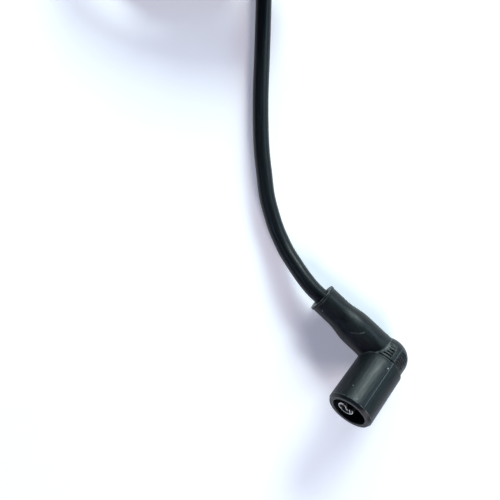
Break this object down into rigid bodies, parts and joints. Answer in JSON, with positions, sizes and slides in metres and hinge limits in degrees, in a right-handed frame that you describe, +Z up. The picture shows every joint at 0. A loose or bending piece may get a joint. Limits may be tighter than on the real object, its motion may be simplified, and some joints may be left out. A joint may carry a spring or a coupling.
{
  "type": "spark plug lead",
  "caption": "Ignition lead with a right-angle rubber boot and socket terminal on its coil end, a tied coil of spare cable, and a straight plug boot.",
  "frame": {"origin": "on the surface under the middle of the box round the coil boot and its terminal", "axes": "+Z up from the surface, +X the way the boot's sleeve and its cable point, +Y the level way its raised mouth points"},
  "size_m": [0.2526, 0.1496, 0.0326],
  "materials": {
    "boot_rubber": "satin moulded rubber",
    "cable_jacket": "satin extruded silicone rubber",
    "terminal_steel": "bright plated spring steel",
    "tie_plastic": "matt nylon"
  },
  "bodies": {
    "root": {"coil_boot": "boot_rubber", "coil_terminal": "terminal_steel", "lead_cable": "cable_jacket", "cable_coil": "cable_jacket", "cable_tail": "cable_jacket", "coil_tie": "tie_plastic", "plug_boot": "boot_rubber", "plug_terminal": "terminal_steel"}
  },
  "joints": []
}
